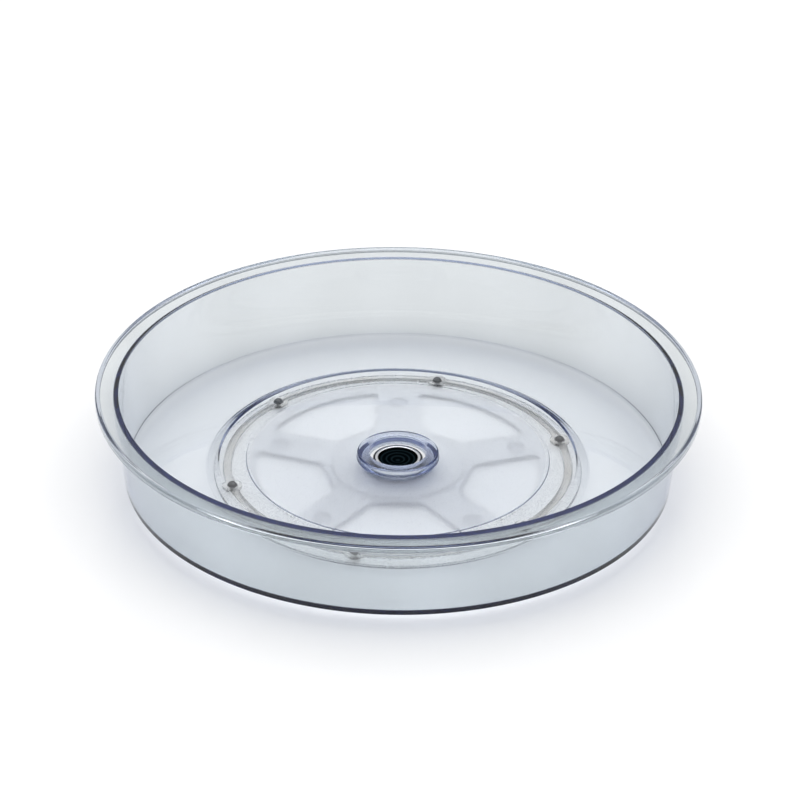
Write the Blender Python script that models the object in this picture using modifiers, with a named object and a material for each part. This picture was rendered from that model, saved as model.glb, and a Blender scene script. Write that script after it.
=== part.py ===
"""Clear plastic turntable tray on a ball race: a round tray with a flared rim spins on a five-spoke base.

Units are metres, +Z is up, and the origin is on the spin axis at the surface that the feet stand on.
"""

from math import asin, cos, pi, radians, sin, sqrt, tan, tau

import bmesh
import bpy
from mathutils import Vector

MM = 0.001

# Tray: outside
RIM_R = 142.0 * MM
RIM_TOP_Z = 46.9 * MM
BEAD_R = 139.6 * MM
LIP_RADIUS = 1.2 * MM
LIP_DEPTH = 3.7 * MM
LIP_WIDTH = 1.9 * MM
FLANGE_INNER_R = 131.1 * MM
FLANGE_FALL = 0.5 * MM
FLANGE_THICKNESS = 2.0 * MM
WALL_FOOT_R = 129.45 * MM
WALL_THICKNESS = 2.1 * MM
WALL_DRAFT = radians(5.0)
TRAY_FOOT_Z = 3.5 * MM
FOOT_CHAMFER = 0.4 * MM
FLANGE_FILLET = 3.2 * MM

# Tray: floor, which is raised over the base and its ball race
OUTER_FLOOR_Z = 5.4 * MM
RACE_RING_Z = 8.2 * MM
RACE_RING_THICKNESS = 1.6 * MM
INNER_FLOOR_Z = 8.6 * MM
FLOOR_THICKNESS = 1.9 * MM
FLOOR_FILLET = 0.9 * MM
RACE_FOOT_R = 90.9 * MM
RACE_OUTER_R = 85.2 * MM
RACE_ROUNDING = 0.7 * MM
STEP_FOOT_R = 72.3 * MM
STEP_TOP_R = 71.3 * MM

# Tray: centre boss
BOSS_OUTER_R = 19.3 * MM
BOSS_INNER_R = 13.8 * MM
BOSS_TOP_Z = 11.7 * MM
BOSS_SHOULDER = 1.0 * MM
BOSS_ROUNDING = 0.3 * MM
BOSS_SEAT_Z = 6.65 * MM
PIVOT_HOLE_R = 12.1 * MM
HUB_PAD_Z = 3.95 * MM
HUB_PAD_R = 17.0 * MM
HUB_PAD_FOOT_R = 18.6 * MM

# Ball race
BALL_COUNT = 6
BALL_R = 2.38 * MM
BALL_CIRCLE_R = 80.6 * MM
BALL_Z = 4.0 * MM
FIRST_BALL = radians(16.5)
GROOVE_R = 2.55 * MM
CAGE_THICKNESS = 1.2 * MM
CAGE_WIDTH = 3.6 * MM
COLLAR_PROUD = 0.2 * MM
COLLAR_R = 4.6 * MM
POCKET_R = 2.7 * MM

# Base
BASE_R = 87.0 * MM
BASE_BOTTOM_Z = 0.6 * MM
BASE_TOP_Z = 2.6 * MM
BASE_ROUNDING = 0.5 * MM
HUB_TOP_Z = 3.1 * MM
HUB_R = 30.6 * MM
BASE_HOLE_R = 11.1 * MM
SLEEVE_RECESS_R = 13.8 * MM
SLEEVE_RECESS_Z = 1.7 * MM
SPOKE_COUNT = 5
FIRST_SPOKE = radians(90.0)
SPOKE_WIDTH = 20.0 * MM
WINDOW_APOTHEM = 33.5 * MM
WINDOW_OUTER_R = 67.5 * MM
WINDOW_CORNER_R = 2.0 * MM

# Feet
FOOT_R = 4.0 * MM
FOOT_CIRCLE_R = 59.0 * MM
FOOT_HEIGHT = 1.2 * MM
FOOT_GAP = 0.3 * MM
FOOT_ROUNDING = 0.3 * MM

# Pivot
SLEEVE_R = 10.8 * MM
SLEEVE_BORE_R = 9.4 * MM
SLEEVE_TOP_Z = 8.25 * MM
SLEEVE_BOTTOM_Z = 0.8 * MM
SLEEVE_FLANGE_R = 13.5 * MM
SLEEVE_FLANGE_THICKNESS = 0.6 * MM
SLEEVE_ROUNDING = 0.3 * MM
CLIP_GROOVE_R = 10.4 * MM
CLIP_OUTER_R = 11.7 * MM
CLIP_THICKNESS = 0.4 * MM
CLIP_Z = 7.53 * MM
CLIP_GAP = 0.1 * MM
CLIP_OPENING = radians(24.0)
WASHER_R = 13.5 * MM
WASHER_BORE_R = 11.0 * MM
WASHER_Z = 6.85 * MM
WASHER_THICKNESS = 0.5 * MM
WASHER_ROUNDING = 0.15 * MM
BUSH_R = 11.9 * MM
BUSH_BORE_R = 11.0 * MM
BUSH_Z = 4.0 * MM
BUSH_HEIGHT = 2.5 * MM
THRUST_R = 16.5 * MM
THRUST_BORE_R = 12.5 * MM
THRUST_Z = 3.25 * MM
THRUST_THICKNESS = 0.5 * MM
CAP_R = 9.1 * MM
CAP_TOP_Z = 7.2 * MM
CAP_HEIGHT = 3.6 * MM
CAP_ROUNDING = 0.5 * MM
CAP_RING_R = 4.7 * MM
CAP_RING_HALF_WIDTH = 0.35 * MM
CAP_RING_DEPTH = 0.35 * MM
CAP_DISH_R = 3.7 * MM
CAP_DISH_DEPTH = 0.8 * MM

# Smoothness
LARGE_STEPS = 72
SMALL_STEPS = 36
FOOT_SIDES = 20
BALL_SEGMENTS = 16
BALL_RINGS = 10
ARC_STEPS = 3
SMOOTH_ANGLE = radians(35.0)
MERGE = 1e-6
CUT_MARGIN = 2.0 * MM

PARTS = bpy.data.collections.new("turntable_tray")
CUTTERS = bpy.data.collections.new("cutters")


def clear_scene():
    for obj in list(bpy.data.objects):
        bpy.data.objects.remove(obj, do_unlink=True)


def add_collections():
    scene = bpy.context.scene
    scene.collection.children.link(PARTS)
    scene.collection.children.link(CUTTERS)
    CUTTERS.hide_render = True


def material(name, colour, roughness, metallic=0.0, transmission=0.0):
    made = bpy.data.materials.new(name)
    made.use_nodes = True
    shader = made.node_tree.nodes["Principled BSDF"]
    shader.inputs["Base Color"].default_value = (*colour, 1.0)
    shader.inputs["Roughness"].default_value = roughness
    shader.inputs["Metallic"].default_value = metallic
    shader.inputs["Transmission Weight"].default_value = transmission
    made.diffuse_color = (*colour, 1.0)
    return made


def arc(centre_r, centre_z, radius, start, end, steps=ARC_STEPS):
    """Points on an arc in the half-section, with angles from +R towards +Z."""
    angles = [start + (end - start) * i / steps for i in range(steps + 1)]
    return [(centre_r + radius * cos(a), centre_z + radius * sin(a)) for a in angles]


def settled(obj):
    """The object with its modifiers applied, and its round faces shaded smooth."""
    graph = bpy.context.evaluated_depsgraph_get()
    mesh = bpy.data.meshes.new_from_object(obj.evaluated_get(graph))
    mesh.name = obj.name
    obj.modifiers.clear()
    obj.data = mesh
    mesh.shade_smooth()
    mesh.set_sharp_from_angle(angle=SMOOTH_ANGLE)
    return obj


def turned(name, section, steps, finish, closed=True):
    """A half-section in (radius, height) turned about Z. It runs down its outer side, and then up inside."""
    count = len(section)
    edges = [(i, i + 1) for i in range(count - 1)]
    if closed:
        edges.append((count - 1, 0))
    mesh = bpy.data.meshes.new(name)
    mesh.from_pydata([(r, 0.0, z) for r, z in section], edges, [])
    obj = bpy.data.objects.new(name, mesh)
    PARTS.objects.link(obj)
    screw = obj.modifiers.new("turn", "SCREW")
    screw.axis = "Z"
    screw.angle = tau
    screw.steps = steps
    screw.render_steps = steps
    screw.use_merge_vertices = True
    screw.merge_threshold = MERGE
    settled(obj)
    obj.data.materials.append(finish)
    return obj


def ring_section(inner, outer, bottom, top, rounding):
    """The half-section of a flat ring with rounded outer edges and bevelled inner edges."""
    return [
        (inner + rounding, top),
        *arc(outer - rounding, top - rounding, rounding, pi / 2, 0.0, 2),
        *arc(outer - rounding, bottom + rounding, rounding, 0.0, -pi / 2, 2),
        (inner + rounding, bottom),
        (inner, bottom + rounding),
        (inner, top - rounding),
    ]


def extruded(name, outline, bottom, top, collection):
    """A flat closed outline in (x, y) as a plate between two heights."""
    curve = bpy.data.curves.new(name, "CURVE")
    curve.dimensions = "2D"
    curve.fill_mode = "BOTH"
    curve.extrude = (top - bottom) / 2
    spline = curve.splines.new("POLY")
    spline.points.add(len(outline) - 1)
    for point, (x, y) in zip(spline.points, outline):
        point.co = (x, y, 0.0, 1.0)
    spline.use_cyclic_u = True
    source = bpy.data.objects.new(name + "_outline", curve)
    source.location.z = (top + bottom) / 2
    collection.objects.link(source)
    bpy.context.view_layer.update()
    graph = bpy.context.evaluated_depsgraph_get()
    mesh = bpy.data.meshes.new_from_object(source.evaluated_get(graph))
    weld(mesh)
    obj = bpy.data.objects.new(name, mesh)
    obj.matrix_world = source.matrix_world.copy()
    collection.objects.link(obj)
    bpy.data.objects.remove(source, do_unlink=True)
    mesh.materials.clear()
    return obj


def weld(mesh):
    """Joins a curve's loose caps to its sides, and turns every face outwards."""
    work = bmesh.new()
    work.from_mesh(mesh)
    bmesh.ops.remove_doubles(work, verts=work.verts, dist=MERGE)
    bmesh.ops.recalc_face_normals(work, faces=work.faces)
    work.to_mesh(mesh)
    work.free()


def cylinder(name, radius, bottom, top, place):
    """A tool: an upright cylinder whose axis goes through place, a point in the XY plane."""
    bpy.ops.mesh.primitive_cylinder_add(vertices=FOOT_SIDES, radius=radius, depth=top - bottom)
    obj = bpy.context.object
    obj.name = name
    move_to(obj, CUTTERS)
    obj.location = (place.x, place.y, (top + bottom) / 2)
    return as_tool(obj)


def move_to(obj, collection):
    for owner in list(obj.users_collection):
        owner.objects.unlink(obj)
    collection.objects.link(obj)


def as_tool(obj):
    """Marks an object that only cuts another or joins it."""
    obj.hide_render = True
    obj.display_type = "WIRE"
    return obj


def combine(obj, others, operation):
    """Cuts the others from the object, or joins them to it."""
    for index, other in enumerate(others):
        boolean = obj.modifiers.new(f"{operation.lower()}_{index}", "BOOLEAN")
        boolean.operation = operation
        boolean.solver = "EXACT"
        boolean.object = other
    bpy.context.view_layer.update()
    return settled(obj)


def on_circle(radius, angle):
    return Vector((radius * cos(angle), radius * sin(angle), 0.0))


def evenly(count, first):
    return [first + tau * i / count for i in range(count)]


def wall_r(z):
    """Outer radius of the tray's wall at a height, from its draft."""
    return WALL_FOOT_R + (z - TRAY_FOOT_Z) * tan(WALL_DRAFT)


def rim_section():
    """From the bead at the flange's outer edge over the lip, and back under it to the wall."""
    lip_foot_z = RIM_TOP_Z - LIP_DEPTH
    lip_inner_r = RIM_R - LIP_WIDTH
    lip_edge = LIP_WIDTH / 3
    underside_z = RIM_TOP_Z - FLANGE_THICKNESS
    fillet_z = underside_z - FLANGE_FALL - FLANGE_FILLET
    return [
        (BEAD_R, RIM_TOP_Z - FLANGE_FALL),
        *arc(RIM_R - LIP_RADIUS, RIM_TOP_Z - LIP_RADIUS, LIP_RADIUS, pi / 2, 0.0),
        *arc(RIM_R - lip_edge, lip_foot_z + lip_edge, lip_edge, 0.0, -pi / 2, 2),
        (lip_inner_r + lip_edge / 2, lip_foot_z),
        (lip_inner_r, lip_foot_z + lip_edge / 2),
        (lip_inner_r, underside_z - lip_edge),
        (lip_inner_r - lip_edge, underside_z),
        *arc(wall_r(fillet_z) + FLANGE_FILLET, fillet_z, FLANGE_FILLET, pi / 2, pi - WALL_DRAFT),
    ]


def underside_section():
    """From the wall's foot inwards under the floor, over the ball race, to the pivot hole."""
    channel_z = RACE_RING_Z - RACE_RING_THICKNESS
    inner_z = INNER_FLOOR_Z - FLOOR_THICKNESS
    return [
        (WALL_FOOT_R, TRAY_FOOT_Z + FOOT_CHAMFER),
        (WALL_FOOT_R - FOOT_CHAMFER, TRAY_FOOT_Z),
        (RACE_FOOT_R - FLOOR_THICKNESS / 2, TRAY_FOOT_Z),
        (RACE_OUTER_R - RACE_ROUNDING, channel_z),
        (STEP_FOOT_R - FLOOR_THICKNESS / 4, channel_z),
        (STEP_TOP_R - FLOOR_THICKNESS / 4, inner_z),
        (HUB_PAD_FOOT_R, inner_z),
        (HUB_PAD_R, HUB_PAD_Z),
        (PIVOT_HOLE_R, HUB_PAD_Z),
        (PIVOT_HOLE_R, BOSS_SEAT_Z),
    ]


def boss_section():
    """From the washer's seat up inside the boss, over its round shoulder and down to the inner floor."""
    inner_arc_r = BOSS_INNER_R + BOSS_ROUNDING
    outer_arc_r = BOSS_OUTER_R - BOSS_SHOULDER
    return [
        (BOSS_INNER_R, BOSS_SEAT_Z),
        *arc(inner_arc_r, BOSS_TOP_Z - BOSS_ROUNDING, BOSS_ROUNDING, pi, pi / 2),
        *arc(outer_arc_r, BOSS_TOP_Z - BOSS_SHOULDER, BOSS_SHOULDER, pi / 2, 0.0),
        (BOSS_OUTER_R, INNER_FLOOR_Z),
    ]


def floor_section():
    """From the inner floor down to the race's ring, across the outer floor and up the wall to the flange."""
    fillet_r = wall_r(OUTER_FLOOR_Z) - WALL_THICKNESS - FLOOR_FILLET
    return [
        (STEP_TOP_R, INNER_FLOOR_Z),
        (STEP_FOOT_R, RACE_RING_Z),
        (RACE_OUTER_R - RACE_ROUNDING, RACE_RING_Z),
        (RACE_OUTER_R + RACE_ROUNDING, RACE_RING_Z - RACE_ROUNDING),
        (RACE_FOOT_R - RACE_ROUNDING, OUTER_FLOOR_Z + RACE_ROUNDING),
        (RACE_FOOT_R + RACE_ROUNDING, OUTER_FLOOR_Z),
        *arc(fillet_r, OUTER_FLOOR_Z + FLOOR_FILLET, FLOOR_FILLET, -pi / 2, 0.0),
        (FLANGE_INNER_R, RIM_TOP_Z - FLANGE_FALL),
    ]


def make_tray(finish):
    section = [*rim_section(), *underside_section(), *boss_section(), *floor_section()]
    return turned("tray", section, LARGE_STEPS, finish)


def base_section():
    """The base disc with its ball groove, hub and the recess for the sleeve's flange."""
    rise = BALL_Z - BASE_TOP_Z
    half_width = sqrt(GROOVE_R**2 - rise**2)
    edge = asin(rise / GROOVE_R)
    return [
        (BASE_HOLE_R, HUB_TOP_Z),
        (HUB_R - BASE_ROUNDING, HUB_TOP_Z),
        (HUB_R, BASE_TOP_Z),
        (BALL_CIRCLE_R - half_width, BASE_TOP_Z),
        *arc(BALL_CIRCLE_R, BALL_Z, GROOVE_R, pi + edge, tau - edge, 6)[1:],
        *arc(BASE_R - BASE_ROUNDING, BASE_TOP_Z - BASE_ROUNDING, BASE_ROUNDING, pi / 2, 0.0, 2),
        *arc(BASE_R - BASE_ROUNDING, BASE_BOTTOM_Z + BASE_ROUNDING, BASE_ROUNDING, 0.0, -pi / 2, 2),
        (SLEEVE_RECESS_R, BASE_BOTTOM_Z),
        (SLEEVE_RECESS_R, SLEEVE_RECESS_Z),
        (BASE_HOLE_R, SLEEVE_RECESS_Z),
    ]


def window_outline(angle):
    """A window between two spokes: straight by the hub, along the spokes, and round at its outer edge."""
    half_pitch = pi / SPOKE_COUNT
    half_spoke = SPOKE_WIDTH / 2
    side = Vector((cos(half_pitch), sin(half_pitch)))
    across = Vector((sin(half_pitch), -cos(half_pitch)))
    inner = side * ((WINDOW_APOTHEM - across.x * half_spoke) / side.x) + across * half_spoke
    along = sqrt(WINDOW_OUTER_R**2 - half_spoke**2)
    outer = side * along + across * half_spoke
    sweep = outer.angle_signed(Vector((1.0, 0.0)))
    half = [inner, outer - side * WINDOW_CORNER_R]
    steps = 2 * ARC_STEPS
    last = sweep - WINDOW_CORNER_R / WINDOW_OUTER_R
    rim = [last - 2 * last * i / steps for i in range(steps + 1)]
    outline = [
        *[(p.x, p.y) for p in half],
        *[(WINDOW_OUTER_R * cos(a), WINDOW_OUTER_R * sin(a)) for a in rim],
        *[(p.x, -p.y) for p in reversed(half)],
    ]
    turn = (cos(angle), sin(angle))
    return [(x * turn[0] - y * turn[1], x * turn[1] + y * turn[0]) for x, y in outline]


def make_base(finish):
    base = turned("base", base_section(), LARGE_STEPS, finish)
    low, high = BASE_BOTTOM_Z - CUT_MARGIN, BASE_TOP_Z + CUT_MARGIN
    cutters = []
    for index, angle in enumerate(evenly(SPOKE_COUNT, FIRST_SPOKE + pi / SPOKE_COUNT)):
        cutter = extruded(f"window_cutter_{index + 1}", window_outline(angle), low, high, CUTTERS)
        cutters.append(as_tool(cutter))
    for index, angle in enumerate(evenly(SPOKE_COUNT, FIRST_SPOKE)):
        place = on_circle(FOOT_CIRCLE_R, angle)
        top = FOOT_HEIGHT + FOOT_GAP
        cutters.append(cylinder(f"recess_cutter_{index + 1}", FOOT_R + FOOT_GAP, -CUT_MARGIN, top, place))
    return combine(base, cutters, "DIFFERENCE")


def make_feet(finish):
    """A bumper foot under each spoke, set in its recess."""
    section = [
        (0.0, FOOT_HEIGHT),
        (FOOT_R, FOOT_HEIGHT),
        *arc(FOOT_R - FOOT_ROUNDING, FOOT_ROUNDING, FOOT_ROUNDING, 0.0, -pi / 2, 2),
        (0.0, 0.0),
    ]
    for index, angle in enumerate(evenly(SPOKE_COUNT, FIRST_SPOKE)):
        foot = turned(f"foot_{index + 1}", section, FOOT_SIDES, finish, closed=False)
        foot.location = on_circle(FOOT_CIRCLE_R, angle)


def make_cage(finish):
    """A thin ring with a round collar and pocket for each ball."""
    bottom = BALL_Z - CAGE_THICKNESS / 2
    top = BALL_Z + CAGE_THICKNESS / 2
    inner = BALL_CIRCLE_R - CAGE_WIDTH / 2
    outer = BALL_CIRCLE_R + CAGE_WIDTH / 2
    section = [(inner, top), (outer, top), (outer, bottom), (inner, bottom)]
    cage = turned("ball_cage", section, LARGE_STEPS, finish)
    places = [on_circle(BALL_CIRCLE_R, angle) for angle in evenly(BALL_COUNT, FIRST_BALL)]
    # The collars stand a little proud of the ring, above and below.
    collars = [
        cylinder(f"collar_{i + 1}", COLLAR_R, bottom - COLLAR_PROUD, top + COLLAR_PROUD, place)
        for i, place in enumerate(places)
    ]
    pockets = [
        cylinder(f"pocket_{i + 1}", POCKET_R, bottom - CUT_MARGIN, top + CUT_MARGIN, place)
        for i, place in enumerate(places)
    ]
    combine(cage, collars, "UNION")
    return combine(cage, pockets, "DIFFERENCE")


def make_balls(finish, cage):
    """Each ball's poles lie on its rolling axis, which points out from the spin axis."""
    for index, angle in enumerate(evenly(BALL_COUNT, FIRST_BALL)):
        bpy.ops.mesh.primitive_uv_sphere_add(segments=BALL_SEGMENTS, ring_count=BALL_RINGS, radius=BALL_R)
        ball = bpy.context.object
        ball.name = f"ball_{index + 1}"
        move_to(ball, PARTS)
        ball.location = on_circle(BALL_CIRCLE_R, angle) + Vector((0.0, 0.0, BALL_Z))
        ball.rotation_euler = (0.0, pi / 2, angle)
        ball.data.materials.append(finish)
        ball.data.shade_smooth()
        ball.parent = cage


def make_sleeve(finish):
    """The hollow rivet that the tray turns on, with a groove for the clip."""
    groove_low = CLIP_Z - CLIP_GAP
    groove_high = CLIP_Z + CLIP_THICKNESS + CLIP_GAP
    flange_top = SLEEVE_BOTTOM_Z + SLEEVE_FLANGE_THICKNESS
    section = [
        (SLEEVE_BORE_R + SLEEVE_ROUNDING, SLEEVE_TOP_Z),
        (SLEEVE_R - SLEEVE_ROUNDING / 2, SLEEVE_TOP_Z),
        (SLEEVE_R, SLEEVE_TOP_Z - SLEEVE_ROUNDING / 2),
        (SLEEVE_R, groove_high),
        (CLIP_GROOVE_R, groove_high),
        (CLIP_GROOVE_R, groove_low),
        (SLEEVE_R, groove_low),
        (SLEEVE_R, flange_top),
        (SLEEVE_FLANGE_R, flange_top),
        (SLEEVE_FLANGE_R, SLEEVE_BOTTOM_Z),
        (SLEEVE_BORE_R, SLEEVE_BOTTOM_Z),
        (SLEEVE_BORE_R, SLEEVE_TOP_Z - SLEEVE_ROUNDING),
    ]
    return turned("pivot_sleeve", section, SMALL_STEPS, finish)


def make_clip(finish):
    """An open spring ring that snaps into the sleeve's groove."""
    inner = CLIP_GROOVE_R + CLIP_GAP
    half_gap = CLIP_OPENING / 2
    start = -pi / 2 + half_gap
    sweep = tau - CLIP_OPENING
    angles = [start + sweep * i / SMALL_STEPS for i in range(SMALL_STEPS + 1)]
    outline = [
        *[(CLIP_OUTER_R * cos(a), CLIP_OUTER_R * sin(a)) for a in angles],
        *[(inner * cos(a), inner * sin(a)) for a in reversed(angles)],
    ]
    clip = extruded("retaining_clip", outline, CLIP_Z, CLIP_Z + CLIP_THICKNESS, PARTS)
    clip.data.materials.append(finish)
    return settled(clip)


def make_washer(finish):
    top = WASHER_Z + WASHER_THICKNESS
    section = ring_section(WASHER_BORE_R, WASHER_R, WASHER_Z, top, WASHER_ROUNDING)
    return turned("retaining_washer", section, SMALL_STEPS, finish)


def make_bush(finish):
    top = BUSH_Z + BUSH_HEIGHT
    section = [(BUSH_BORE_R, top), (BUSH_R, top), (BUSH_R, BUSH_Z), (BUSH_BORE_R, BUSH_Z)]
    return turned("pivot_bush", section, SMALL_STEPS, finish)


def make_thrust_washer(finish):
    top = THRUST_Z + THRUST_THICKNESS
    section = [(THRUST_BORE_R, top), (THRUST_R, top), (THRUST_R, THRUST_Z), (THRUST_BORE_R, THRUST_Z)]
    return turned("thrust_washer", section, SMALL_STEPS, finish)


def make_cap(finish):
    """The plug in the sleeve's bore, with a dished centre inside a fine groove."""
    dish_depths = [CAP_DISH_DEPTH * (1 - (i / ARC_STEPS) ** 2) for i in range(ARC_STEPS)]
    section = [
        *[(CAP_DISH_R * i / ARC_STEPS, CAP_TOP_Z - depth) for i, depth in enumerate(dish_depths)],
        (CAP_DISH_R, CAP_TOP_Z),
        (CAP_RING_R - CAP_RING_HALF_WIDTH, CAP_TOP_Z),
        (CAP_RING_R, CAP_TOP_Z - CAP_RING_DEPTH),
        (CAP_RING_R + CAP_RING_HALF_WIDTH, CAP_TOP_Z),
        *arc(CAP_R - CAP_ROUNDING, CAP_TOP_Z - CAP_ROUNDING, CAP_ROUNDING, pi / 2, 0.0, 2),
        (CAP_R, CAP_TOP_Z - CAP_HEIGHT),
        (0.0, CAP_TOP_Z - CAP_HEIGHT),
    ]
    return turned("pivot_cap", section, SMALL_STEPS, finish, closed=False)


def main():
    clear_scene()
    add_collections()
    clear = material("clear_plastic", (0.86, 0.89, 0.94), 0.05, transmission=1.0)
    frosted = material("frosted_plastic", (0.80, 0.82, 0.85), 0.35, transmission=0.8)
    nylon = material("natural_nylon", (0.82, 0.80, 0.76), 0.45, transmission=0.3)
    ball_steel = material("ball_steel", (0.56, 0.56, 0.57), 0.12, metallic=1.0)
    bright_steel = material("bright_steel", (0.72, 0.73, 0.75), 0.18, metallic=1.0)
    black_steel = material("black_steel", (0.03, 0.03, 0.035), 0.35, metallic=0.6)
    black_plastic = material("black_plastic", (0.012, 0.014, 0.016), 0.25)
    foot_rubber = material("clear_rubber", (0.75, 0.77, 0.80), 0.4, transmission=0.5)

    make_base(frosted)
    make_feet(foot_rubber)
    make_sleeve(bright_steel)
    make_thrust_washer(nylon)
    cage = make_cage(nylon)
    make_balls(ball_steel, cage)
    make_tray(clear)
    make_bush(black_plastic)
    make_washer(nylon)
    make_clip(black_steel)
    make_cap(black_plastic)


main()
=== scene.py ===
"""Looks for the clear turntable tray: fine meshes, plastics, metals, floor, light and camera.

Units are metres in the CAD frame: +Z is up the spin axis, and z = 0 is where the feet stand.
"""

from math import asin, atan2, cos, hypot, pi, radians, sin, sqrt, tan, tau

import bmesh
import bpy
from mathutils import Matrix, Vector


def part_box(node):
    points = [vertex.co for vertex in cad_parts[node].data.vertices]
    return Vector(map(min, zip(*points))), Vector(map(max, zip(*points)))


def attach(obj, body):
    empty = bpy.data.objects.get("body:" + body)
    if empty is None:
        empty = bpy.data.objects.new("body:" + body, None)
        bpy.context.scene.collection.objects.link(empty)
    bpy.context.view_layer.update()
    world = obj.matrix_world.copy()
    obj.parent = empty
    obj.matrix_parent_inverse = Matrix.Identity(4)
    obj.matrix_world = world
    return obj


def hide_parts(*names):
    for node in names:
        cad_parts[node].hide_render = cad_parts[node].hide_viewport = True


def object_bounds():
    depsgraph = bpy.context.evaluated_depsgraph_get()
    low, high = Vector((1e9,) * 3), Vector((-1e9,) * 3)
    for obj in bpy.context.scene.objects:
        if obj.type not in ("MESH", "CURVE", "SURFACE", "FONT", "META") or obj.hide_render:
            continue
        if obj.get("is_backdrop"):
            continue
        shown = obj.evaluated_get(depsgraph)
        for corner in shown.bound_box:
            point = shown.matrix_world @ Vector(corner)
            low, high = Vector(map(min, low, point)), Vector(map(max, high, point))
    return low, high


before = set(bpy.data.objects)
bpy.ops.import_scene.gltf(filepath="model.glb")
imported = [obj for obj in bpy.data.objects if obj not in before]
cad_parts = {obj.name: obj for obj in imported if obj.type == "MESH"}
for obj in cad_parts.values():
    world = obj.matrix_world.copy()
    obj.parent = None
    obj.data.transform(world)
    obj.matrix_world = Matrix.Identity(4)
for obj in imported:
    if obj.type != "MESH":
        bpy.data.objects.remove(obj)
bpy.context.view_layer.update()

MM = 0.001

# Camera
AIM = Vector((0.67 * MM, 0.0, 39.29 * MM))
CAMERA_DISTANCE = 1.7122
CAMERA_ELEVATION = radians(29.82)
CAMERA_ROLL = radians(0.72)
LENS_MM = 164.14
SENSOR_MM = 36.0

# Smoothness of the fine meshes
LARGE_STEPS = 288
SMALL_STEPS = 120
FOOT_STEPS = 64
BALL_STEPS = 48
ARC_STEP = radians(11.25)
SMOOTH_ANGLE = radians(40.0)
ON_AXIS = 1e-6
CUT_MARGIN = 2.0 * MM

# Where most of a noise texture's values lie
NOISE_LOW = 0.3
NOISE_HIGH = 0.7

# Studio floor, and the sky's colours with the sines of the elevations where they are reached
FLOOR_HALF = 6.0
FLOOR_GAP = 0.05 * MM
HORIZON, HORIZON_GREY = 0.0, (0.24, 0.245, 0.26, 1.0)
LOW_SKY, LOW_SKY_GREY = 0.12, (0.38, 0.385, 0.40, 1.0)
HIGH_SKY, HIGH_SKY_WHITE = 0.75, (1.0, 1.0, 1.0, 1.0)
SKY_STRENGTH = 0.86


# ---------------------------------------------------------------- mesh tools


def rounded(corners):
    """A closed outline from corners (u, v, fillet radius), with an arc of that radius at each corner."""
    outline = []
    count = len(corners)
    for index, (u, v, radius) in enumerate(corners):
        here = Vector((u, v))
        before = (Vector(corners[index - 1][:2]) - here).normalized()
        after = (Vector(corners[(index + 1) % count][:2]) - here).normalized()
        opening = before.angle(after)
        turn = pi - opening
        if radius <= 0.0 or turn < radians(1.0):
            outline.append((u, v))
            continue
        reach = radius / tan(opening / 2)
        centre = here + (before + after).normalized() * (radius / sin(opening / 2))
        first = here + before * reach - centre
        last = here + after * reach - centre
        side = 1.0 if first.x * last.y - first.y * last.x > 0 else -1.0
        steps = max(2, round(turn / ARC_STEP))
        for step in range(steps + 1):
            angle = side * turn * step / steps
            c, s = cos(angle), sin(angle)
            outline.append((centre.x + first.x * c - first.y * s, centre.y + first.x * s + first.y * c))
    return outline


def evenly(count, first):
    """This many angles, evenly spaced round a turn."""
    return [first + tau * i / count for i in range(count)]


def mesh_from(work, name):
    """The mesh of a bmesh, which is freed."""
    mesh = bpy.data.meshes.new(name)
    work.to_mesh(mesh)
    work.free()
    return mesh


def mesh_object(name, mesh, finish=None):
    obj = bpy.data.objects.new(name, mesh)
    bpy.context.scene.collection.objects.link(obj)
    if finish:
        mesh.materials.append(finish)
    return obj


def smooth(mesh):
    mesh.shade_smooth()
    mesh.set_sharp_from_angle(angle=SMOOTH_ANGLE)


def face_outwards(work):
    bmesh.ops.recalc_face_normals(work, faces=work.faces)
    if work.calc_volume(signed=True) < 0.0:
        bmesh.ops.reverse_faces(work, faces=work.faces)


def turned(name, outline, steps, finish):
    """A closed half-section of (radius, height) turned about Z. A point at radius 0 becomes one vertex."""
    work = bmesh.new()
    rings = []
    for r, z in outline:
        if r < ON_AXIS:
            rings.append([work.verts.new((0.0, 0.0, z))])
        else:
            rings.append([work.verts.new((r * cos(a), r * sin(a), z)) for a in evenly(steps, 0.0)])
    count = len(outline)
    for index in range(count):
        near, far = rings[index], rings[(index + 1) % count]
        if len(near) == 1 and len(far) == 1:
            continue
        for step in range(steps):
            following = (step + 1) % steps
            if len(near) == 1:
                corners = (near[0], far[step], far[following])
            elif len(far) == 1:
                corners = (near[step], far[0], near[following])
            else:
                corners = (near[step], far[step], far[following], near[following])
            work.faces.new(corners)
    face_outwards(work)
    mesh = mesh_from(work, name)
    smooth(mesh)
    return mesh_object(name, mesh, finish)


def node_middle(node):
    low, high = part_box(node)
    return (low + high) / 2


def node_angle(node):
    """The angle about the spin axis of a node's middle."""
    middle = node_middle(node)
    return atan2(middle.y, middle.x)


# ---------------------------------------------------------------- materials


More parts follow.
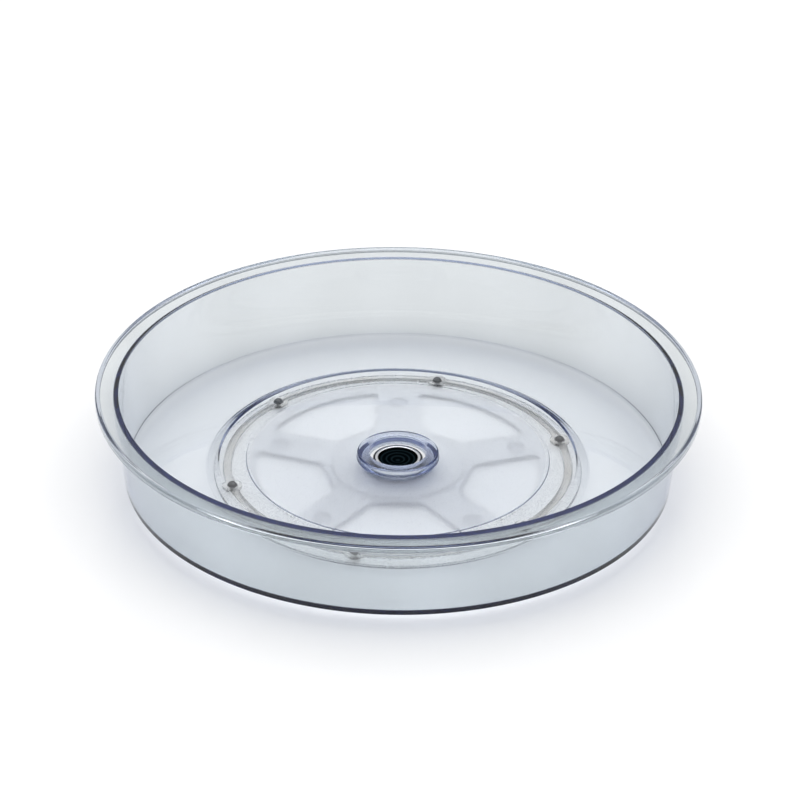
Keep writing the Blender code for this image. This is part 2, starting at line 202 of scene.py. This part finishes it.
class Finish:
    """A Principled material with short calls for the nodes that drive it."""

    def __init__(self, name, colour, roughness, **values):
        self.material = bpy.data.materials.new(name)
        self.material.use_nodes = True
        self.tree = self.material.node_tree
        self.shader = self.tree.nodes["Principled BSDF"]
        self.output = self.tree.nodes["Material Output"]
        self.set("Base Color", (*colour, 1.0))
        self.set("Roughness", roughness)
        for socket, value in values.items():
            self.set(socket.replace("_", " "), value)
        self.place = self.add("ShaderNodeTexCoord").outputs["Object"]

    def set(self, socket, value):
        self.shader.inputs[socket].default_value = value

    def add(self, kind, **settings):
        node = self.tree.nodes.new(kind)
        for key, value in settings.items():
            setattr(node, key, value)
        return node

    def link(self, source, target):
        self.tree.links.new(source, target)

    def noise(self, scale, detail=3.0, stretch=None):
        """Noise in object space, at this many cells a metre, stretched along an axis by a scale vector."""
        node = self.add("ShaderNodeTexNoise")
        node.inputs["Scale"].default_value = scale
        node.inputs["Detail"].default_value = detail
        place = self.place
        if stretch:
            mapping = self.add("ShaderNodeMapping")
            mapping.inputs["Scale"].default_value = stretch
            self.link(place, mapping.inputs["Vector"])
            place = mapping.outputs["Vector"]
        self.link(place, node.inputs["Vector"])
        return node.outputs["Fac"]

    def radius(self):
        """Distance from the spin axis, in metres."""
        flat = self.add("ShaderNodeVectorMath", operation="MULTIPLY")
        flat.inputs[1].default_value = (1.0, 1.0, 0.0)
        self.link(self.place, flat.inputs[0])
        length = self.add("ShaderNodeVectorMath", operation="LENGTH")
        self.link(flat.outputs["Vector"], length.inputs[0])
        return length.outputs["Value"]

    def levelness(self):
        """1 on level faces, falling to 0 on upright ones."""
        facing = self.add("ShaderNodeSeparateXYZ")
        self.link(self.add("ShaderNodeNewGeometry").outputs["True Normal"], facing.inputs["Vector"])
        return self.math("ABSOLUTE", facing.outputs["Z"])

    def height(self):
        """Height over the origin, in metres."""
        split = self.add("ShaderNodeSeparateXYZ")
        self.link(self.place, split.inputs["Vector"])
        return split.outputs["Z"]

    def within(self, source, low, high):
        """1 where the source lies between low and high, and 0 elsewhere."""
        node = self.add("ShaderNodeMath", operation="COMPARE")
        node.inputs[1].default_value = (low + high) / 2
        node.inputs[2].default_value = (high - low) / 2
        self.link(source, node.inputs[0])
        return node.outputs["Value"]

    def mapped(self, source, low, high):
        """The usual span of a noise, spread from low to high."""
        node = self.add("ShaderNodeMapRange")
        node.inputs["From Min"].default_value = NOISE_LOW
        node.inputs["From Max"].default_value = NOISE_HIGH
        node.inputs["To Min"].default_value = low
        node.inputs["To Max"].default_value = high
        self.link(source, node.inputs["Value"])
        return node.outputs["Result"]

    def math(self, operation, first, second=0.0):
        """The result of an operation on one or two numbers or sockets."""
        node = self.add("ShaderNodeMath", operation=operation)
        for index, value in enumerate((first, second)):
            if isinstance(value, (int, float)):
                node.inputs[index].default_value = value
            else:
                self.link(value, node.inputs[index])
        return node.outputs["Value"]

    def vary_roughness(self, source, low, high):
        self.link(self.mapped(source, low, high), self.shader.inputs["Roughness"])

    def vary_colour(self, source, dark, light):
        self.link(self.mixed(self.mapped(source, 0.0, 1.0), dark, light), self.shader.inputs["Base Color"])

    def by_radius(self, edge, inside, outside):
        """One colour inside a radius about the spin axis and another beyond it."""
        return self.mixed(self.math("GREATER_THAN", self.radius(), edge), inside, outside)

    def mixed(self, factor, first, second):
        """A blend of two colours or sockets."""
        mix = self.add("ShaderNodeMix", data_type="RGBA")
        for socket, colour in (("A", first), ("B", second)):
            if isinstance(colour, tuple):
                mix.inputs[socket].default_value = (*colour, 1.0)
            else:
                self.link(colour, mix.inputs[socket])
        self.link(factor, mix.inputs["Factor"])
        return mix.outputs["Result"]

    def bump(self, source, depth, strength):
        """Relief of this depth in metres."""
        node = self.add("ShaderNodeBump")
        node.inputs["Strength"].default_value = strength
        node.inputs["Distance"].default_value = depth
        self.link(source, node.inputs["Height"])
        self.link(node.outputs["Normal"], self.shader.inputs["Normal"])

    def absorb(self, colour, density):
        """Colour that deepens with the way through the piece."""
        volume = self.add("ShaderNodeVolumeAbsorption")
        volume.inputs["Color"].default_value = (*colour, 1.0)
        volume.inputs["Density"].default_value = density
        self.link(volume.outputs["Volume"], self.output.inputs["Volume"])

    def pass_light(self, tint):
        """Lets lamps through with a tint, a colour or a socket, in place of caustics."""
        clear = self.add("ShaderNodeBsdfTransparent")
        if isinstance(tint, tuple):
            clear.inputs["Color"].default_value = (*tint, 1.0)
        else:
            self.link(tint, clear.inputs["Color"])
        path = self.add("ShaderNodeLightPath")
        mix = self.add("ShaderNodeMixShader")
        self.link(path.outputs["Is Shadow Ray"], mix.inputs["Fac"])
        self.link(self.shader.outputs["BSDF"], mix.inputs[1])
        self.link(clear.outputs["BSDF"], mix.inputs[2])
        self.link(mix.outputs["Shader"], self.output.inputs["Surface"])


# The clear plastic: its surface tint, with painted shade on the walls in darker and lighter upright bands,
# the colour of thick parts, and what it lets lamps through
PLASTIC_IOR = 1.5
PLASTIC_TINT = (0.99, 0.993, 0.94)
# Painted shade on the walls: tints darker than the floor's, in place of darker surroundings seen through
# and in them
WALL_PAINTED_SHADE_DARK = (0.84, 0.858, 0.815)
WALL_PAINTED_SHADE_LIGHT = (0.945, 0.962, 0.918)
PLASTIC_DEPTH = (0.06, 0.19, 0.535)
PLASTIC_DENSITY = 84.0
FLOOR_SHADE = (0.995, 0.992, 0.99)
WALL_SHADE = (0.82, 0.82, 0.81)
FLANGE_SHADE = (0.45, 0.45, 0.45)
WALL_ZONE_R = 126.0 * MM
FLANGE_ZONE_R = 132.5 * MM

# Radians of a sine for each metre of radius
TURNING_RINGS = 26000.0
CAP_RINGS = 2600.0


def clear_plastic():
    """Polished clear moulding, blue-grey where it is thick, with a blasted underside inside the race and
    painted shade in upright bands on the walls.
    """
    finish = Finish("clear_plastic", PLASTIC_TINT, 0.02, Transmission_Weight=1.0, IOR=PLASTIC_IOR)
    polish = finish.mapped(finish.noise(420.0, 6.0), 0.0, 0.03)
    grain = finish.mapped(finish.noise(3500.0), 0.26, 0.36)
    foot_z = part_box("tray")[0].z
    blast_low, blast_high = foot_z + 2.9 * MM, foot_z + 3.7 * MM
    blast_inner_r, blast_outer_r = 19.5 * MM, 70.0 * MM
    underside = finish.within(finish.height(), blast_low, blast_high)
    inside = finish.within(finish.radius(), blast_inner_r, blast_outer_r)
    blasted = finish.math("MULTIPLY", underside, inside)
    mix = finish.add("ShaderNodeMix")
    finish.link(blasted, mix.inputs["Factor"])
    finish.link(polish, mix.inputs["A"])
    finish.link(grain, mix.inputs["B"])
    finish.link(mix.outputs["Result"], finish.shader.inputs["Roughness"])
    finish.bump(finish.noise(22.0, 2.0), 0.00012, 0.15)
    finish.absorb(PLASTIC_DEPTH, PLASTIC_DENSITY)
    # Painted shade: the walls beyond the floor are tinted darker, in soft upright bands that stand in for
    # light and dark studio surroundings
    painted_shade_bands = finish.mapped(finish.noise(16.0, 1.0, stretch=(1.0, 1.0, 0.05)), 0.0, 1.0)
    wall_painted_shade = finish.mixed(painted_shade_bands, WALL_PAINTED_SHADE_DARK, WALL_PAINTED_SHADE_LIGHT)
    tint = finish.by_radius(WALL_ZONE_R, PLASTIC_TINT, wall_painted_shade)
    finish.link(tint, finish.shader.inputs["Base Color"])
    outer_shade = finish.by_radius(FLANGE_ZONE_R, WALL_SHADE, FLANGE_SHADE)
    finish.pass_light(finish.by_radius(WALL_ZONE_R, FLOOR_SHADE, outer_shade))
    return finish.material


def base_plastic():
    """The base: the same plastic, satin, with a fine blasted grain, faint flow marks and painted shade
    colouring its upright faces dark.
    """
    finish = Finish("base_plastic", (0.86, 0.87, 0.88), 0.3, Transmission_Weight=1.0, IOR=PLASTIC_IOR)
    grain = finish.noise(1800.0, 4.0)
    finish.vary_roughness(grain, 0.2, 0.35)
    cloud = finish.mapped(finish.noise(60.0, 4.0), 0.0, 1.0)
    faces = finish.mixed(cloud, (0.93, 0.935, 0.94), (0.975, 0.98, 0.985))
    # Painted shade: upright faces round the windows and hub are coloured dark grey, standing in for the
    # dark outlines their edges show
    edges = finish.math("LESS_THAN", finish.levelness(), 0.8)
    finish.link(finish.mixed(edges, faces, (0.30, 0.31, 0.33)), finish.shader.inputs["Base Color"])
    finish.bump(grain, 0.00003, 0.4)
    finish.pass_light((0.965, 0.967, 0.97))
    return finish.material


def natural_nylon():
    """The cage and thrust washer: pale, see-through nylon."""
    finish = Finish("natural_nylon", (0.94, 0.93, 0.91), 0.25, Transmission_Weight=1.0, IOR=1.2)
    grain = finish.noise(2600.0, 3.0)
    finish.vary_roughness(grain, 0.2, 0.32)
    finish.vary_colour(finish.noise(60.0, 3.0), (0.84, 0.81, 0.77), (0.96, 0.955, 0.945))
    finish.bump(grain, 0.00002, 0.3)
    finish.pass_light((0.95, 0.948, 0.94))
    return finish.material


def white_nylon():
    """The pivot's white washer: opaque, faintly waxy."""
    finish = Finish("white_nylon", (0.90, 0.90, 0.89), 0.35, Subsurface_Weight=0.2, IOR=1.5)
    finish.set("Subsurface Radius", (0.4 * MM, 0.4 * MM, 0.35 * MM))
    grain = finish.noise(2600.0, 3.0)
    finish.vary_roughness(grain, 0.28, 0.45)
    finish.vary_colour(finish.noise(300.0, 3.0), (0.86, 0.86, 0.85), (0.93, 0.93, 0.925))
    finish.bump(grain, 0.00002, 0.4)
    return finish.material


def clear_rubber():
    """Soft clear bumper feet."""
    finish = Finish("clear_rubber", (0.97, 0.97, 0.975), 0.2, Transmission_Weight=1.0, IOR=1.43)
    grain = finish.noise(2200.0, 3.0)
    finish.vary_roughness(grain, 0.15, 0.3)
    finish.vary_colour(finish.noise(500.0, 3.0), (0.95, 0.95, 0.955), (0.98, 0.98, 0.985))
    finish.bump(grain, 0.00003, 0.4)
    finish.pass_light((0.98, 0.98, 0.98))
    return finish.material


def ball_steel():
    """Polished bearing steel with faint rolling marks, its colour painted near black as shade."""
    finish = Finish("ball_steel", (0.07, 0.07, 0.075), 0.12, Metallic=1.0)
    marks = finish.noise(1500.0, 4.0)
    finish.vary_roughness(marks, 0.08, 0.2)
    # Painted shade: the steel's colour is kept near black, far darker than bare steel, in place of the dark
    # surroundings it reflects; its tone varies at random
    finish.vary_colour(finish.noise(600.0, 3.0), (0.04, 0.04, 0.043), (0.10, 0.10, 0.105))
    finish.bump(marks, 0.00001, 0.3)
    return finish.material


def bright_steel():
    """Bright steel with fine turning rings round the spin axis."""
    finish = Finish("bright_steel", (0.80, 0.81, 0.83), 0.16, Metallic=1.0)
    rings = finish.math("SINE", finish.math("MULTIPLY", finish.radius(), TURNING_RINGS))
    finish.vary_roughness(finish.noise(900.0, 4.0), 0.1, 0.24)
    finish.vary_colour(finish.noise(300.0, 3.0), (0.74, 0.75, 0.77), (0.86, 0.87, 0.89))
    finish.bump(rings, 0.000006, 0.35)
    return finish.material


def black_steel():
    """The clip: spring steel with black oxide."""
    finish = Finish("black_steel", (0.02, 0.02, 0.022), 0.35, Metallic=0.5)
    grain = finish.noise(1600.0, 4.0)
    finish.vary_roughness(grain, 0.25, 0.45)
    finish.vary_colour(finish.noise(500.0, 3.0), (0.012, 0.012, 0.014), (0.03, 0.03, 0.033))
    finish.bump(grain, 0.00001, 0.4)
    return finish.material


def black_plastic():
    """The pivot cap and bush: black, with little shine, and faint lighter rings painted in as ring
    highlights.
    """
    finish = Finish("black_plastic", (0.001, 0.002, 0.003), 0.3, Specular_IOR_Level=0.0, IOR=1.2)
    grain = finish.noise(2400.0, 3.0)
    finish.vary_roughness(grain, 0.2, 0.36)
    # Painted highlight: lighter bluish rings in the black colour stand in for faint ring highlights, as the
    # surface's own shine is off
    rings = finish.math("SINE", finish.math("MULTIPLY", finish.radius(), CAP_RINGS))
    finish.vary_colour(rings, (0.0005, 0.0015, 0.0022), (0.006, 0.011, 0.014))
    finish.bump(grain, 0.00001, 0.4)
    return finish.material


def white_floor():
    """Smooth white acrylic sheet with a soft gloss."""
    finish = Finish("white_floor", (0.93, 0.93, 0.935), 0.12, IOR=1.45)
    finish.vary_roughness(finish.noise(8.0, 3.0), 0.08, 0.16)
    return finish.material


# ---------------------------------------------------------------- tray


def tray_outline():
    """The tray's half-section, from the flange's inner corner out, down outside and back up inside."""
    low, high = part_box("tray")
    rim_r, rim_z, foot_z = high.x, high.z, low.z
    draft = tan(radians(5.0))
    wall_foot_r = rim_r - 12.55 * MM
    wall = 2.1 * MM
    skin = 1.9 * MM
    flange_z = rim_z - 0.5 * MM
    lip_z = rim_z - 3.7 * MM
    lip_inner_r = rim_r - 1.9 * MM
    floor_z = foot_z + skin
    race_z = foot_z + 4.7 * MM
    race_under_z = race_z - 1.6 * MM
    inner_z = foot_z + 5.1 * MM
    inner_under_z = inner_z - skin
    boss_z = foot_z + 8.2 * MM
    seat_z = foot_z + 3.15 * MM
    pad_z = foot_z + 0.45 * MM
    hole_r = 12.1 * MM
    boss_bore_r = 13.8 * MM
    boss_r = 19.3 * MM
    hub_r = 17.0 * MM

    def wall_r(z):
        return wall_foot_r + (z - foot_z) * draft

    corners = [
        (wall_r(flange_z) - wall, flange_z, 0.25 * MM),
        (rim_r - 2.4 * MM, flange_z, 0.1 * MM),
        (rim_r - 1.7 * MM, rim_z, 0.5 * MM),
        (rim_r, rim_z, 1.2 * MM),
        (rim_r, lip_z, 0.7 * MM),
        (lip_inner_r, lip_z, 0.5 * MM),
        (lip_inner_r, flange_z - 1.5 * MM, 0.6 * MM),
        (wall_r(flange_z), flange_z - 2.0 * MM, 0.6 * MM),
        (wall_foot_r, foot_z, 0.25 * MM),
        (rim_r - 52.0 * MM, foot_z, 1.4 * MM),
        (rim_r - 57.7 * MM, race_under_z, 1.4 * MM),
        (rim_r - 70.2 * MM, race_under_z, 0.05 * MM),
        (rim_r - 71.2 * MM, inner_under_z, 0.05 * MM),
        (18.6 * MM, inner_under_z, 0.8 * MM),
        (hub_r, pad_z, 0.5 * MM),
        (hole_r, pad_z, 0.3 * MM),
        (hole_r, seat_z, 0.15 * MM),
        (boss_bore_r, seat_z, 0.3 * MM),
        (boss_bore_r, boss_z, 0.3 * MM),
        (boss_r, boss_z, 1.0 * MM),
        (19.35 * MM, inner_z, 0.3 * MM),
        (rim_r - 70.4 * MM, inner_z, 0.08 * MM),
        (rim_r - 70.1 * MM, race_z, 0.08 * MM),
        (rim_r - 56.8 * MM, race_z, 1.2 * MM),
        (rim_r - 51.1 * MM, floor_z, 1.2 * MM),
        (wall_r(floor_z) - wall, floor_z, 0.4 * MM),
    ]
    return rounded(corners)


def make_tray(finish):
    tray = turned("tray_clear", tray_outline(), LARGE_STEPS, finish)
    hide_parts("tray")
    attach(tray, "tray")


# ---------------------------------------------------------------- base


def base_outline():
    """The base's half-section: hub, plate with the ball groove in its top, and a relief under the hub."""
    low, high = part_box("base")
    bottom, hub_z = low.z, high.z
    top = hub_z - 0.5 * MM
    outer = high.x
    bore_r, hub_r = 11.1 * MM, 30.6 * MM
    relief_r, relief_z = 13.8 * MM, bottom + 1.1 * MM
    ball = node_middle("ball_1")
    circle = hypot(ball.x, ball.y)
    groove = 2.55 * MM
    rise = ball.z - top
    half_width = sqrt(groove**2 - rise**2)
    edge = asin(rise / groove)
    start, sweep = pi + edge, pi - 2 * edge
    steps = 14
    angles = [start + sweep * i / steps for i in range(steps + 1)]
    arc = [(circle + groove * cos(a), ball.z + groove * sin(a), 0.0) for a in angles]
    arc[0] = (circle - half_width, top, 0.15 * MM)
    arc[-1] = (circle + half_width, top, 0.15 * MM)
    corners = [
        (bore_r, hub_z, 0.2 * MM),
        (hub_r, hub_z, 0.3 * MM),
        (hub_r + 0.3 * MM, top, 0.3 * MM),
        *arc,
        (outer, top, 0.5 * MM),
        (outer, bottom, 0.5 * MM),
        (relief_r, bottom, 0.2 * MM),
        (relief_r, relief_z, 0.2 * MM),
        (bore_r, relief_z, 0.2 * MM),
    ]
    return rounded(corners)


def prism(name, outline, bottom, top):
    """An upright prism over a closed outline, used as a cutter."""
    work = bmesh.new()
    lower = [work.verts.new((x, y, bottom)) for x, y in outline]
    face = work.faces.new(lower)
    grown = bmesh.ops.extrude_face_region(work, geom=[face])
    for element in grown["geom"]:
        if isinstance(element, bmesh.types.BMVert):
            element.co.z = top
    face_outwards(work)
    return mesh_object(name, mesh_from(work, name))


def window_outline(angle):
    """A window between two spokes, with rounded corners, a straight inner side and a round outer edge.

    It is drawn about +X, between the spokes at half a pitch either way, then turned to its angle.
    """
    half_pitch = pi / 5
    half_spoke = 10.0 * MM
    apothem = 33.5 * MM
    outer_r = 67.5 * MM
    side = Vector((cos(half_pitch), sin(half_pitch)))
    across = Vector((sin(half_pitch), -cos(half_pitch)))
    # The corners beside the upper spoke, whose edge lies half a spoke's width off its middle line.
    inner = side * ((apothem - across.x * half_spoke) / side.x) + across * half_spoke
    outer = side * sqrt(outer_r**2 - half_spoke**2) + across * half_spoke
    sweep = atan2(outer.y, outer.x)
    steps = 24
    rim = [sweep - 2 * sweep * i / steps for i in range(1, steps)]
    corners = [
        (inner.x, inner.y, 2.0 * MM),
        (outer.x, outer.y, 2.5 * MM),
        *[(outer_r * cos(a), outer_r * sin(a), 0.0) for a in rim],
        (outer.x, -outer.y, 2.5 * MM),
        (inner.x, -inner.y, 2.0 * MM),
    ]
    turn = Matrix.Rotation(angle, 2)
    return [tuple(turn @ Vector(point)) for point in rounded(corners)]


def circle_outline(centre, radius, sides):
    return [(centre.x + radius * cos(a), centre.y + radius * sin(a)) for a in evenly(sides, 0.0)]


def cut(obj, cutters):
    """Applies the object's modifiers and cuts the cutters from it, then removes them.

    It stops if nothing is left of the object.
    """
    for cutter in cutters:
        boolean = obj.modifiers.new("cut", "BOOLEAN")
        boolean.operation = "DIFFERENCE"
        boolean.solver = "MANIFOLD"
        boolean.object = cutter
    bpy.context.view_layer.update()
    graph = bpy.context.evaluated_depsgraph_get()
    finish = obj.data.materials[0]
    mesh = bpy.data.meshes.new_from_object(obj.evaluated_get(graph))
    if not mesh.polygons:
        raise RuntimeError(f"{obj.name} is empty after its cuts")
    mesh.materials.clear()
    mesh.materials.append(finish)
    mesh.polygons.foreach_set("material_index", [0] * len(mesh.polygons))
    obj.modifiers.clear()
    obj.data = mesh
    smooth(mesh)
    for cutter in cutters:
        bpy.data.objects.remove(cutter, do_unlink=True)


def make_base(finish):
    low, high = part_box("base")
    base = turned("base_spider", base_outline(), LARGE_STEPS, finish)
    recess_r, recess_gap = 4.3 * MM, 0.3 * MM
    first = node_angle("foot_1") + pi / 5
    cutters = [
        prism(f"window_{i + 1}", window_outline(angle), low.z - CUT_MARGIN, high.z + CUT_MARGIN)
        for i, angle in enumerate(evenly(5, first))
    ]
    for index in range(5):
        _, foot_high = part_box(f"foot_{index + 1}")
        outline = circle_outline(node_middle(f"foot_{index + 1}"), recess_r, FOOT_STEPS)
        recess_top = foot_high.z + recess_gap
        cutters.append(prism(f"recess_{index + 1}", outline, low.z - CUT_MARGIN, recess_top))
    cut(base, cutters)
    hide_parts("base")
    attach(base, "base")


def make_feet(finish):
    for index in range(5):
        node = f"foot_{index + 1}"
        low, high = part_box(node)
        radius = (high.x - low.x) / 2
        outline = rounded(
            [
                (0.0, high.z, 0.0),
                (radius, high.z, 0.1 * MM),
                (radius, 0.0, 0.4 * MM),
                (0.0, 0.0, 0.0),
            ]
        )
        foot = turned(f"bumper_{index + 1}", outline, FOOT_STEPS, finish)
        middle = node_middle(node)
        foot.location = (middle.x, middle.y, 0.0)
        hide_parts(node)
        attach(foot, "base")


# ---------------------------------------------------------------- ball race


def cage_width(ball_angles, circle):
    """A function for the cage's half width at an angle: narrow, and wider in a collar at each ball."""
    half_width = 1.8 * MM
    collar = 4.6 * MM
    blend = 1.2 * MM
    reach = collar + 3.0 * MM

    def half(angle):
        along = circle * min(abs((angle - a + pi) % tau - pi) for a in ball_angles)
        if along >= reach:
            return half_width
        excess = sqrt(max(collar**2 - along**2, 0.0)) - half_width
        return half_width + 0.5 * (excess + sqrt(excess**2 + blend**2))

    return half


def make_cage(finish):
    """A flat ring with a collar and an open pocket round each ball. The collars stand a little proud."""
    low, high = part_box("ball_cage")
    balls = [node_middle(f"ball_{i + 1}") for i in range(6)]
    circle = hypot(balls[0].x, balls[0].y)
    ball_angles = [atan2(b.y, b.x) for b in balls]
    half_at = cage_width(ball_angles, circle)
    steps = 720
    rounding = 0.25 * MM
    collar_proud = 0.2 * MM
    collar_rise = 1.0 * MM
    pocket_r = 2.7 * MM
    slimmest = min(half_at(angle) for angle in evenly(steps, 0.0))
    work = bmesh.new()
    rings = []
    for angle in evenly(steps, 0.0):
        half = half_at(angle)
        inset = collar_proud * (1.0 - min(1.0, (half - slimmest) / collar_rise))
        top, bottom = high.z - inset, low.z + inset
        section = rounded(
            [
                (circle + half, top, rounding),
                (circle + half, bottom, rounding),
                (circle - half, bottom, rounding),
                (circle - half, top, rounding),
            ]
        )
        rings.append([work.verts.new((r * cos(angle), r * sin(angle), z)) for r, z in section])
    for index, ring in enumerate(rings):
        following = rings[(index + 1) % steps]
        for step in range(len(ring)):
            after = (step + 1) % len(ring)
            work.faces.new((ring[step], ring[after], following[after], following[step]))
    face_outwards(work)
    cage = mesh_object("cage_ring", mesh_from(work, "cage_ring"), finish)
    pockets = []
    for index, ball in enumerate(balls):
        outline = circle_outline(ball, pocket_r, BALL_STEPS)
        pockets.append(prism(f"pocket_{index + 1}", outline, low.z - CUT_MARGIN, high.z + CUT_MARGIN))
    cut(cage, pockets)
    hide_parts("ball_cage")
    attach(cage, "ball_cage")


def make_balls(finish):
    """The balls, each with its poles on the axis that it rolls about."""
    for index in range(6):
        node = f"ball_{index + 1}"
        low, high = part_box(node)
        middle = (low + high) / 2
        work = bmesh.new()
        radius = (high.z - low.z) / 2
        bmesh.ops.create_uvsphere(work, u_segments=BALL_STEPS, v_segments=BALL_STEPS // 2, radius=radius)
        mesh = mesh_from(work, f"race_ball_{index + 1}")
        mesh.shade_smooth()
        ball = mesh_object(mesh.name, mesh, finish)
        ball.location = middle
        ball.rotation_euler = (0.0, pi / 2, atan2(middle.y, middle.x))
        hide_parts(node)
        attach(ball, node)


# ---------------------------------------------------------------- pivot


def make_sleeve(finish):
    """The hollow rivet: a flange at its foot and a groove for the clip."""
    low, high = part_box("pivot_sleeve")
    clip_low, clip_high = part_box("retaining_clip")
    clip_play = 0.1 * MM
    groove_top, groove_bottom = clip_high.z + clip_play, clip_low.z - clip_play
    bore, outer, groove = 9.4 * MM, 10.8 * MM, 10.4 * MM
    flange_top = low.z + 0.6 * MM
    outline = rounded(
        [
            (bore, high.z, 0.35 * MM),
            (outer, high.z, 0.2 * MM),
            (outer, groove_top, 0.03 * MM),
            (groove, groove_top, 0.03 * MM),
            (groove, groove_bottom, 0.03 * MM),
            (outer, groove_bottom, 0.03 * MM),
            (outer, flange_top, 0.15 * MM),
            (high.x, flange_top, 0.15 * MM),
            (high.x, low.z, 0.2 * MM),
            (bore, low.z, 0.4 * MM),
        ]
    )
    sleeve = turned("pivot_rivet", outline, SMALL_STEPS, finish)
    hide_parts("pivot_sleeve")
    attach(sleeve, "base")


def make_ring(name, node, inner, rounding, finish, body):
    """A flat ring with rounded edges, as high and wide as its node."""
    low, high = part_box(node)
    outline = rounded(
        [
            (inner, high.z, rounding),
            (high.x, high.z, rounding),
            (high.x, low.z, rounding),
            (inner, low.z, rounding),
        ]
    )
    ring = turned(name, outline, SMALL_STEPS, finish)
    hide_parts(node)
    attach(ring, body)


def make_clip(finish):
    """An open spring ring with rounded tips, its gap to the front."""
    low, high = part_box("retaining_clip")
    inner, outer = 10.5 * MM, 11.7 * MM
    half_gap = radians(12.0)
    start, sweep = -pi / 2 + half_gap, tau - 2 * half_gap
    angles = [start + sweep * i / SMALL_STEPS for i in range(SMALL_STEPS + 1)]
    arc_out = [(outer * cos(a), outer * sin(a), 0.0) for a in angles]
    arc_in = [(inner * cos(a), inner * sin(a), 0.0) for a in reversed(angles)]
    tip = 0.4 * MM
    for arc in (arc_out, arc_in):
        arc[0] = (*arc[0][:2], tip)
        arc[-1] = (*arc[-1][:2], tip)
    clip = prism("clip_ring", rounded(arc_out + arc_in), low.z, high.z)
    bevel = clip.modifiers.new("edges", "BEVEL")
    bevel.width = 0.06 * MM
    bevel.segments = 2
    bevel.limit_method = "ANGLE"
    bevel.angle_limit = radians(50.0)
    clip.data.materials.append(finish)
    cut(clip, [])
    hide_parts("retaining_clip")
    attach(clip, "base")


def make_cap(finish):
    """The black plug: a rounded edge, a fine groove and a dished middle."""
    low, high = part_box("pivot_cap")
    radius, top = high.x, high.z
    dish_r, dish_depth, dish_steps = 3.7 * MM, 0.8 * MM, 8
    groove_z = top - 0.35 * MM
    fractions = [i / dish_steps for i in range(dish_steps)]
    dish = [(dish_r * f, top - dish_depth * (1 - f**2), 0.0) for f in fractions]
    corners = [
        *dish,
        (dish_r, top, 0.15 * MM),
        (4.3 * MM, top, 0.08 * MM),
        (4.5 * MM, groove_z, 0.08 * MM),
        (4.9 * MM, groove_z, 0.08 * MM),
        (5.1 * MM, top, 0.08 * MM),
        (radius, top, 0.6 * MM),
        (radius, low.z, 0.2 * MM),
        (0.0, low.z, 0.0),
    ]
    cap = turned("pivot_plug", rounded(corners), SMALL_STEPS, finish)
    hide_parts("pivot_cap")
    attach(cap, "base")


# ---------------------------------------------------------------- studio


def make_floor(finish):
    work = bmesh.new()
    bmesh.ops.create_grid(work, x_segments=1, y_segments=1, size=FLOOR_HALF)
    floor = mesh_object("studio_floor", mesh_from(work, "studio_floor"), finish)
    floor.location.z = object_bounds()[0][2] - FLOOR_GAP
    floor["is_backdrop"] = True


def area_light(name, place, target, size, power):
    """A rectangular lamp of this size in metres and power in watts, aimed at a target."""
    data = bpy.data.lights.new(name, "AREA")
    data.shape = "RECTANGLE"
    data.size, data.size_y = size
    data.energy = power
    lamp = bpy.data.objects.new(name, data)
    bpy.context.scene.collection.objects.link(lamp)
    lamp.location = place
    lamp.rotation_euler = (Vector(target) - Vector(place)).to_track_quat("-Z", "Y").to_euler()


def make_sky():
    """Soft studio surroundings: white overhead, greyer towards the horizon."""
    world = bpy.data.worlds.new("studio")
    bpy.context.scene.world = world
    world.use_nodes = True
    tree = world.node_tree
    background = tree.nodes["Background"]
    place = tree.nodes.new("ShaderNodeTexCoord")
    split = tree.nodes.new("ShaderNodeSeparateXYZ")
    ramp = tree.nodes.new("ShaderNodeValToRGB")
    lowest, highest = ramp.color_ramp.elements
    lowest.position = HORIZON
    lowest.color = HORIZON_GREY
    highest.position = HIGH_SKY
    highest.color = HIGH_SKY_WHITE
    ramp.color_ramp.elements.new(LOW_SKY).color = LOW_SKY_GREY
    tree.links.new(place.outputs["Generated"], split.inputs[0])
    tree.links.new(split.outputs["Z"], ramp.inputs["Fac"])
    tree.links.new(ramp.outputs["Color"], background.inputs["Color"])
    background.inputs["Strength"].default_value = SKY_STRENGTH


def make_camera():
    """A long lens at the photograph's viewing angle, with its slight roll."""
    data = bpy.data.cameras.new("camera")
    data.lens = LENS_MM
    data.sensor_width = SENSOR_MM
    data.clip_start = 0.05
    camera = bpy.data.objects.new("camera", data)
    bpy.context.scene.collection.objects.link(camera)
    back = Vector((0.0, -cos(CAMERA_ELEVATION), sin(CAMERA_ELEVATION)))
    turn = (-back).to_track_quat("-Z", "Y").to_matrix().to_4x4()
    roll = Matrix.Rotation(CAMERA_ROLL, 4, "Z")
    camera.matrix_world = Matrix.Translation(AIM + back * CAMERA_DISTANCE) @ turn @ roll
    bpy.context.scene.camera = camera


def set_picture():
    """Light paths long enough for the clear plastic, and plain colours."""
    scene = bpy.context.scene
    scene.view_settings.view_transform = "Standard"
    scene.cycles.use_denoising = True
    scene.cycles.max_bounces = 48
    scene.cycles.glossy_bounces = 32
    scene.cycles.transmission_bounces = 32
    scene.cycles.transparent_max_bounces = 20
    scene.cycles.caustics_refractive = True
    scene.cycles.caustics_reflective = False
    scene.cycles.sample_clamp_indirect = 6.0


make_camera()
make_floor(white_floor())
make_sky()
area_light("overhead", (0.0, 0.3, 1.6), (0.0, 0.0, 0.0), (2.2, 1.6), 18.0)
set_picture()

black = black_plastic()
cage_nylon = natural_nylon()
make_tray(clear_plastic())
make_base(base_plastic())
make_feet(clear_rubber())
make_cage(cage_nylon)
make_balls(ball_steel())
make_sleeve(bright_steel())
make_ring("washer_ring", "retaining_washer", 11.0 * MM, 0.18 * MM, white_nylon(), "base")
make_ring("bush_ring", "pivot_bush", 11.0 * MM, 0.15 * MM, black, "tray")
make_ring("thrust_ring", "thrust_washer", 12.5 * MM, 0.15 * MM, cage_nylon, "base")
make_clip(black_steel())
make_cap(black)
